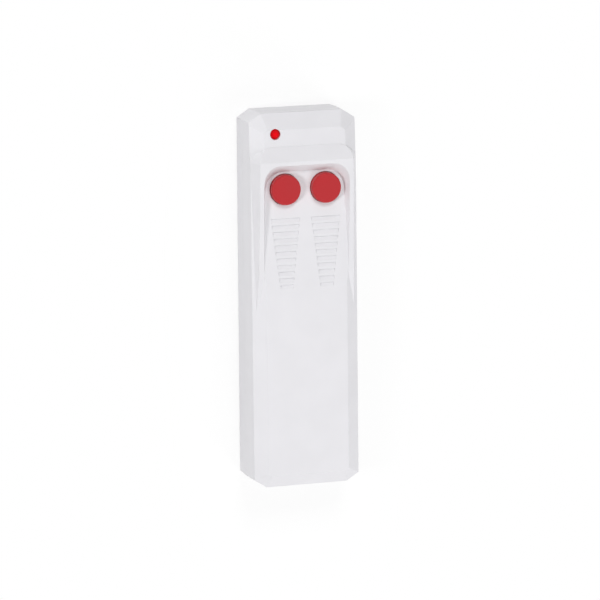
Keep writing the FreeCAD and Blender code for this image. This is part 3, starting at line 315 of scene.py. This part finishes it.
# %% [markdown]
# ## A finish
# Blender's principled surface covers plastics and metals alike. A finish starts as one such
# surface, gets its patterns, and is then put on the solids that have it. The edges of a moulding
# or a stamping are never sharp: a bevel node rounds them in the shading, which keeps the solid's
# mesh as it is and yet lets the edges catch the light.

# %% Start, grain and wear a finish
FINE_EDGE = 0.05 * MM
BEVEL_SAMPLES = 8


def new_finish(name, color, roughness, metallic=0.0):
    """A principled surface with one colour."""
    finish = bpy.data.materials.new(name)
    finish.use_nodes = True
    shader = finish.node_tree.nodes["Principled BSDF"]
    shader.inputs["Base Color"].default_value = (*color, OPAQUE)
    shader.inputs["Roughness"].default_value = roughness
    shader.inputs["Metallic"].default_value = metallic
    return finish, finish.node_tree, shader


def press_in(tree, shader, height, depth, edge=FINE_EDGE):
    """Raises the surface by a pattern, up to a depth, and rounds its edges to a radius."""
    rounded = add_node(tree, "Bevel", {"Radius": edge}, samples=BEVEL_SAMPLES).outputs["Normal"]
    bump = add_node(tree, "Bump", {"Height": height, "Distance": depth, "Normal": rounded})
    feed(tree, shader.inputs["Normal"], bump.outputs["Normal"])


def wear(finish, *names):
    """Gives a finish to solids by name."""
    for name in names:
        nodes[name].data.materials.clear()
        nodes[name].data.materials.append(finish)
    print(finish.name, "on", ", ".join(names))


# %% [markdown]
# ## Moulded plastic
# The case, the buttons, the switches and the chips are all moulded. A mould of this kind is often
# spark-eroded, which leaves a very fine grain, and such plastic is never quite even in gloss or in
# tone. A fine noise makes the grain, and a slow one changes the roughness and the tone a little.

# %% The off-white case and the red buttons
CASE_COLOR = (0.775, 0.768, 0.795)
BUTTON_RED = (0.44, 0.021, 0.026)
SATIN = 0.42
GLOSS_CHANGE = 0.03
GRAIN_SIZE = 0.16 * MM
GRAIN_DEPTH = 0.0025 * MM
CLOUD_SIZE = 9 * MM
CLOUD_DARK, CLOUD_LIGHT = 0.985, 1.01
CASE_EDGE = 0.25 * MM
BUTTON_EDGE = 0.2 * MM
CASE_SHINE, BUTTON_SHINE = 0.5, 0.45


def moulded_plastic(
    name, color, roughness, edge, grain=GRAIN_SIZE, depth=GRAIN_DEPTH, shine=CASE_SHINE
):
    """Plastic with a fine spark-eroded grain, uneven gloss and softly rounded edges."""
    finish, tree, shader = new_finish(name, color, roughness)
    slow = noise(tree, CLOUD_SIZE, detail=2.0)
    dark, light = shade(color, CLOUD_DARK), shade(color, CLOUD_LIGHT)
    feed(tree, shader.inputs["Base Color"], mix_colors(tree, spread(tree, slow, 0.0, 1.0), dark, light))
    gloss = spread(tree, slow, roughness - GLOSS_CHANGE, roughness + GLOSS_CHANGE)
    feed(tree, shader.inputs["Roughness"], gloss)
    feed(tree, shader.inputs["Specular IOR Level"], shine)
    press_in(tree, shader, noise(tree, grain), depth, edge)
    return finish


wear(moulded_plastic("case_plastic", CASE_COLOR, SATIN, CASE_EDGE), "front_shell", "back_shell")
wear(
    moulded_plastic("button_plastic", BUTTON_RED, SATIN, BUTTON_EDGE, shine=BUTTON_SHINE),
    "button_left", "button_right",
)

# %% [markdown]
# ## The indicator lamp
# A lamp of this kind is a small dome of clear red resin with a lit crystal in its middle. Glass
# with a light inside would show that truly, but at this size it only turns to grain in the picture.
# So the dome is glossy red resin that glows by itself, most in the middle and less at the rim, where its
# colour is painted darker as shade.

# %% Red resin that glows in the middle
LAMP_RED = (0.36, 0.001, 0.004)
LAMP_GLOW = (1.0, 0.002, 0.006)
MIDDLE_GLOW, RIM_GLOW = 0.48, 0.28
CRYSTAL_RADIUS, GLOW_RADIUS = 0.15 * MM, 1.25 * MM
# Painted shade: the resin's colour darkens from this radius out to the rim.
PAINTED_SHADE_START = 0.5 * GLOW_RADIUS
PAINTED_RIM_SHADE = 0.7
LAMP_ROUGHNESS, LAMP_SHINE = 0.16, 0.08
RIPPLE_SIZE, RIPPLE_DEPTH = 0.3 * MM, 0.001 * MM


def middle_of(name):
    """The middle of a solid's box."""
    low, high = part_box(name)
    return (low + high) / 2


def lamp_resin():
    """Glossy red resin, lit from its middle, with painted shade that darkens its colour towards the rim.
    """
    finish, tree, shader = new_finish("lamp_resin", LAMP_RED, LAMP_ROUGHNESS)
    away = from_axis(tree, middle_of("led_lamp"))
    glow = spread(tree, away, MIDDLE_GLOW, RIM_GLOW, CRYSTAL_RADIUS, GLOW_RADIUS)
    feed(tree, shader.inputs["Emission Color"], LAMP_GLOW)
    feed(tree, shader.inputs["Emission Strength"], glow)
    feed(tree, shader.inputs["Specular IOR Level"], LAMP_SHINE)
    # Painted shade: the base colour turns darker towards the dome's rim.
    painted_rim_shade = spread(tree, away, 0.0, 1.0, PAINTED_SHADE_START, GLOW_RADIUS)
    tone = mix_colors(tree, painted_rim_shade, LAMP_RED, shade(LAMP_RED, PAINTED_RIM_SHADE))
    feed(tree, shader.inputs["Base Color"], tone)
    press_in(tree, shader, noise(tree, RIPPLE_SIZE), RIPPLE_DEPTH)
    return finish


wear(lamp_resin(), "led_lamp")

# %% [markdown]
# ## Black mouldings inside
# The switches have a hard plastic body with some gloss. The chip and the transistor are a duller
# resin with a coarser grain. Both are the moulded finish again, with other values.

# %% Switch bodies and chips
SWITCH_BLACK = (0.028, 0.028, 0.031)
CHIP_BLACK = (0.022, 0.022, 0.024)
COARSE_GRAIN = {"grain": 0.1 * MM, "depth": 0.006 * MM}

wear(
    moulded_plastic("switch_plastic", SWITCH_BLACK, roughness=0.36, edge=0.1 * MM),
    "switch_base_left", "switch_base_right", "switch_plunger_left", "switch_plunger_right",
)
wear(
    moulded_plastic("chip_resin", CHIP_BLACK, roughness=0.6, edge=0.08 * MM, **COARSE_GRAIN),
    "encoder_chip", "transistor",
)

# %% [markdown]
# ## Plain metals
# Rolled and drawn metal has fine lines that run one way. An image of such lines would do, and so
# does a noise that is stretched along one axis, which has no seams and needs no file. A slow noise
# dulls the metal in places, as a touch or the air does.

# %% Strip, wire and plating
METAL_EDGE = 0.06 * MM
STEEL = (0.56, 0.55, 0.53)
NICKEL = (0.66, 0.63, 0.58)
TIN = (0.72, 0.71, 0.69)
BRASS = (0.71, 0.52, 0.24)
COPPER = (0.80, 0.43, 0.30)
DULL_SIZE = 2.5 * MM
DULL_SHADE = 0.86
DULL_ROUGHER = 0.12
LINE_WIDTH, LINE_DEPTH = 0.05 * MM, 0.001 * MM
ALONG_X, ALONG_Y, ALONG_Z = (14, 1, 1), (1, 14, 1), (1, 1, 14)


def plain_metal(name, color, roughness, lines, width=LINE_WIDTH, depth=LINE_DEPTH):
    """Metal with fine lines one way and a slightly dulled skin."""
    finish, tree, shader = new_finish(name, color, roughness, metallic=1.0)
    dull = spread(tree, noise(tree, DULL_SIZE), 0.0, 1.0)
    feed(tree, shader.inputs["Base Color"], mix_colors(tree, dull, color, shade(color, DULL_SHADE)))
    gloss = spread(tree, dull, roughness, roughness + DULL_ROUGHER, 0.0, 1.0)
    feed(tree, shader.inputs["Roughness"], gloss)
    press_in(tree, shader, noise(tree, width, stretch=lines), depth, METAL_EDGE)
    return finish


wear(
    plain_metal("rolled_steel", STEEL, roughness=0.26, lines=ALONG_X),
    "switch_cover_left", "switch_cover_right",
)
wear(plain_metal("drawn_can", NICKEL, roughness=0.22, lines=ALONG_Z), "resonator_can")
wear(
    plain_metal("spring_nickel", NICKEL, roughness=0.24, lines=ALONG_X),
    "switch_dome_left", "switch_dome_right", "battery_contact", "spring_contact", "battery_spring",
)
wear(
    plain_metal("tinned_copper", TIN, roughness=0.34, lines=ALONG_Z),
    "led_leads", "transistor_leads", "encoder_legs", "switch_terminals_left", "switch_terminals_right",
)
wear(plain_metal("milled_brass", BRASS, roughness=0.28, lines=ALONG_Y), "trimmer_rotor")
wear(
    plain_metal(
        "etched_copper", COPPER, roughness=0.36, lines=ALONG_X, width=0.12 * MM, depth=0.004 * MM
    ),
    "antenna_loop",
)

# %% [markdown]
# ## The domes under the plungers
# Under each plunger sits a thin sprung dome. It flattens as its button goes down and springs the
# button back. A solid can't do that, so a piece of the same shape, with a mesh of its own, stands
# for each dome in place of the solid and hangs on the case.

for side in ("left", "right"):
    solid = nodes["switch_dome_" + side]
    dome = bpy.data.objects.new("contact_dome_" + side, solid.data.copy())
    scene.collection.objects.link(dome)
    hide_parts("switch_dome_" + side)
    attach(dome, "case")
    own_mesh(dome)

# %% [markdown]
# ## The screw in the back
# The screw was turned and then plated. Its head carries rings round the axis, from the tool that
# faced it. A wave pattern could draw them, but it can't be centred as simply as a sine of the
# distance from the axis.

# %% Turned and plated screw
RING_PITCH, RING_DEPTH = 0.12 * MM, 0.002 * MM
HANDLED_SIZE = 1.2 * MM
HANDLED_SHADE = 0.82
SCREW_SMOOTH, SCREW_DULL = 0.26, 0.42


def turned_steel(middle):
    """Plated steel with the fine rings of a lathe tool."""
    finish, tree, shader = new_finish("turned_steel", STEEL, SCREW_SMOOTH, metallic=1.0)
    away = from_axis(tree, middle)
    rings = arithmetic(tree, "SINE", arithmetic(tree, "MULTIPLY", away, math.tau / RING_PITCH))
    dull = spread(tree, noise(tree, HANDLED_SIZE), 0.0, 1.0)
    tone = mix_colors(tree, dull, STEEL, shade(STEEL, HANDLED_SHADE))
    feed(tree, shader.inputs["Base Color"], tone)
    feed(tree, shader.inputs["Roughness"], spread(tree, dull, SCREW_SMOOTH, SCREW_DULL, 0.0, 1.0))
    press_in(tree, shader, rings, RING_DEPTH, METAL_EDGE)
    return finish


wear(turned_steel(middle_of("case_screw")), "case_screw")

# %% [markdown]
# ## The circuit board
# The board is a sheet of glass fibre with copper tracks under green lacquer. The tracks show as
# slightly raised, lighter lines that run one way in one area and across in the next. A cell
# pattern picks the areas. Where a lead comes through, the lacquer is left off and the pad is
# tinned. The cut edge shows the bare yellow-green sheet.

# %% Lacquered board with tracks and pads
LACQUER = (0.012, 0.125, 0.048)
TRACK_TONE = (0.03, 0.21, 0.075)
BARE_SHEET = (0.42, 0.44, 0.19)
TRACK_PITCH = 1.27 * MM
TRACK_WIDTH = 0.45 * MM
AREA_SIZE = 11 * MM
PAD_RADIUS = 1.0 * MM
LEAD_INSET = 0.3 * MM
LAYER_RISE = 0.03 * MM
LACQUER_SMOOTH, LACQUER_DULL = 0.27, 0.36
LACQUER_CLOUD = 3 * MM
BARE_ROUGHNESS = 0.8
HALF = 0.5


def lead_places():
    """Where the leads and legs come through the board, from the boxes of their solids."""
    places = []
    for name in ("switch_terminals_left", "switch_terminals_right"):
        low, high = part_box(name)
        for x in (low.x + LEAD_INSET, high.x - LEAD_INSET):
            places += [Vector((x, y, 0)) for y in (low.y + LEAD_INSET, high.y - LEAD_INSET)]
    for name, count in (("led_leads", 2), ("transistor_leads", 3)):
        low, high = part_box(name)
        steps = [i / (count - 1) for i in range(count)]
        places += [Vector((low.x + (high.x - low.x) * s, (low.y + high.y) / 2, 0)) for s in steps]
    return places


def track_pattern(tree):
    """1 on a track and 0 between tracks."""
    place = {"Vector": object_place(tree), "Scale": 1 / AREA_SIZE}
    cells = add_node(tree, "TexVoronoi", place, distance="MANHATTAN")
    pick = arithmetic(tree, "GREATER_THAN", cells.outputs["Color"], HALF)
    across = add_node(tree, "Mix", {0: pick, 2: along(tree, "X"), 3: along(tree, "Y")}).outputs[0]
    off_middle = arithmetic(tree, "PINGPONG", across, TRACK_PITCH / 2)
    return arithmetic(tree, "LESS_THAN", off_middle, TRACK_WIDTH / 2)


def board_lacquer():
    """Green lacquer over tracks, with tinned pads and a bare edge."""
    finish, tree, shader = new_finish("board_lacquer", LACQUER, LACQUER_SMOOTH)
    tracks = track_pattern(tree)
    nearest, *others = [from_axis(tree, place) for place in lead_places()]
    for away in others:
        nearest = arithmetic(tree, "MINIMUM", nearest, away)
    pads = arithmetic(tree, "LESS_THAN", nearest, PAD_RADIUS)
    normal = add_node(tree, "TexCoord").outputs["Normal"]
    facing = add_node(tree, "SeparateXYZ", {0: normal}).outputs["Z"]
    edge = arithmetic(tree, "LESS_THAN", arithmetic(tree, "ABSOLUTE", facing), HALF)
    color = mix_colors(tree, tracks, LACQUER, TRACK_TONE)
    color = mix_colors(tree, pads, color, TIN)
    color = mix_colors(tree, edge, color, BARE_SHEET)
    metal = arithmetic(tree, "MULTIPLY", pads, arithmetic(tree, "SUBTRACT", 1.0, edge))
    gloss = spread(tree, noise(tree, LACQUER_CLOUD), LACQUER_SMOOTH, LACQUER_DULL)
    bare = arithmetic(tree, "MULTIPLY", edge, BARE_ROUGHNESS)
    feed(tree, shader.inputs["Base Color"], color)
    feed(tree, shader.inputs["Metallic"], metal)
    feed(tree, shader.inputs["Roughness"], arithmetic(tree, "MAXIMUM", gloss, bare))
    press_in(tree, shader, arithmetic(tree, "MAXIMUM", tracks, pads), LAYER_RISE)
    return finish


wear(board_lacquer(), "circuit_board")
print(len(lead_places()), "pads on the board")

# %% [markdown]
# ## Small chips with tinned ends
# The resistors and capacitors stand in rows. Each is a block with a tinned cap at both ends. The
# solids of a row are one mesh, so the caps come from a count along the row: a point's distance
# from the middle of its own chip, found by wrapping its place at the row's pitch.

# %% Chips with caps at both ends
CHIP_LENGTH = 2.0 * MM
CAP_LENGTH = 0.4 * MM
RESISTOR_PITCH = 3.4 * MM
CAPACITOR_PITCH = 4.6 * MM
RESISTOR_BLACK = (0.02, 0.02, 0.022)
CAPACITOR_TAN = (0.52, 0.36, 0.22)
CAP_ROUGHNESS = 0.36
SPECKLE_SIZE, SPECKLE_DARK, SPECKLE_LIGHT = 0.12 * MM, 0.9, 1.08
CHIP_GRAIN, CHIP_GRAIN_DEPTH = 0.1 * MM, 0.003 * MM
# A point that lies this near a face counts as on it.
SKIN = 0.01 * MM


def capped_chip(name, row, pitch, color, roughness):
    """A chip body of one colour with tinned ends."""
    finish, tree, shader = new_finish(name, color, roughness)
    start = arithmetic(tree, "SUBTRACT", along(tree, "X"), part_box(row)[0].x - SKIN)
    own = arithmetic(tree, "MODULO", start, pitch)
    off_middle = arithmetic(tree, "ABSOLUTE", arithmetic(tree, "SUBTRACT", own, CHIP_LENGTH / 2))
    cap = arithmetic(tree, "GREATER_THAN", off_middle, CHIP_LENGTH / 2 - CAP_LENGTH)
    speckle = spread(tree, noise(tree, SPECKLE_SIZE), 0.0, 1.0)
    body = mix_colors(tree, speckle, shade(color, SPECKLE_DARK), shade(color, SPECKLE_LIGHT))
    feed(tree, shader.inputs["Base Color"], mix_colors(tree, cap, body, TIN))
    feed(tree, shader.inputs["Metallic"], cap)
    feed(tree, shader.inputs["Roughness"], spread(tree, cap, roughness, CAP_ROUGHNESS, 0.0, 1.0))
    press_in(tree, shader, noise(tree, CHIP_GRAIN), CHIP_GRAIN_DEPTH)
    return finish


wear(
    capped_chip("resistor_body", "chip_resistors", RESISTOR_PITCH, RESISTOR_BLACK, roughness=0.45),
    "chip_resistors",
)
wear(
    capped_chip("capacitor_body", "chip_capacitors", CAPACITOR_PITCH, CAPACITOR_TAN, roughness=0.5),
    "chip_capacitors",
)

# %% [markdown]
# ## The trimmer's ceramic base
# Fired ceramic is matt and its grain is coarser than a moulding's. The moulded finish with a
# deeper grain and a higher roughness shows that, so it needs no finish of its own.

# %% Brown ceramic
CERAMIC_BROWN = (0.34, 0.20, 0.11)
CERAMIC_GRAIN = {"grain": 0.14 * MM, "depth": 0.008 * MM}

wear(
    moulded_plastic("trimmer_ceramic", CERAMIC_BROWN, roughness=0.62, edge=0.08 * MM, **CERAMIC_GRAIN),
    "trimmer_base",
)

# %% [markdown]
# ## The battery
# The battery is a steel can in a printed plastic sleeve. The sleeve stops short of both ends and
# leaves the cap and the bottom bare. Its colour and its single light band are plain ones.

# %% Sleeve, band and bare ends
SLEEVE = (0.045, 0.11, 0.24)
BAND = (0.62, 0.65, 0.70)
BARE_END = 0.62 * MM
BAND_FROM, BAND_TO = 3.2 * MM, 5.0 * MM
SLEEVE_EDGE = 0.15 * MM
SLEEVE_SMOOTH, SLEEVE_DULL = 0.26, 0.36
SLEEVE_CLOUD = 2 * MM
STRETCH_SIZE, STRETCH_DEPTH = 0.4 * MM, 0.004 * MM


def battery_sleeve():
    """A glossy sleeve with one light band, and bare steel at the ends."""
    finish, tree, shader = new_finish("battery_sleeve", SLEEVE, SLEEVE_SMOOTH)
    low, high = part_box("battery")
    y = along(tree, "Y")
    from_cap = arithmetic(tree, "SUBTRACT", y, low.y)
    to_bottom = arithmetic(tree, "SUBTRACT", high.y, y)
    capped = arithmetic(tree, "LESS_THAN", from_cap, BARE_END)
    bottom = arithmetic(tree, "LESS_THAN", to_bottom, 2 * SKIN)
    bare = arithmetic(tree, "MAXIMUM", capped, bottom)
    after = arithmetic(tree, "GREATER_THAN", from_cap, BAND_FROM)
    before = arithmetic(tree, "LESS_THAN", from_cap, BAND_TO)
    band = arithmetic(tree, "MULTIPLY", after, before)
    color = mix_colors(tree, band, SLEEVE, BAND)
    feed(tree, shader.inputs["Base Color"], mix_colors(tree, bare, color, NICKEL))
    feed(tree, shader.inputs["Metallic"], bare)
    gloss = spread(tree, noise(tree, SLEEVE_CLOUD), SLEEVE_SMOOTH, SLEEVE_DULL)
    feed(tree, shader.inputs["Roughness"], gloss)
    press_in(tree, shader, noise(tree, STRETCH_SIZE, stretch=ALONG_Y), STRETCH_DEPTH, SLEEVE_EDGE)
    return finish


wear(battery_sleeve(), "battery")
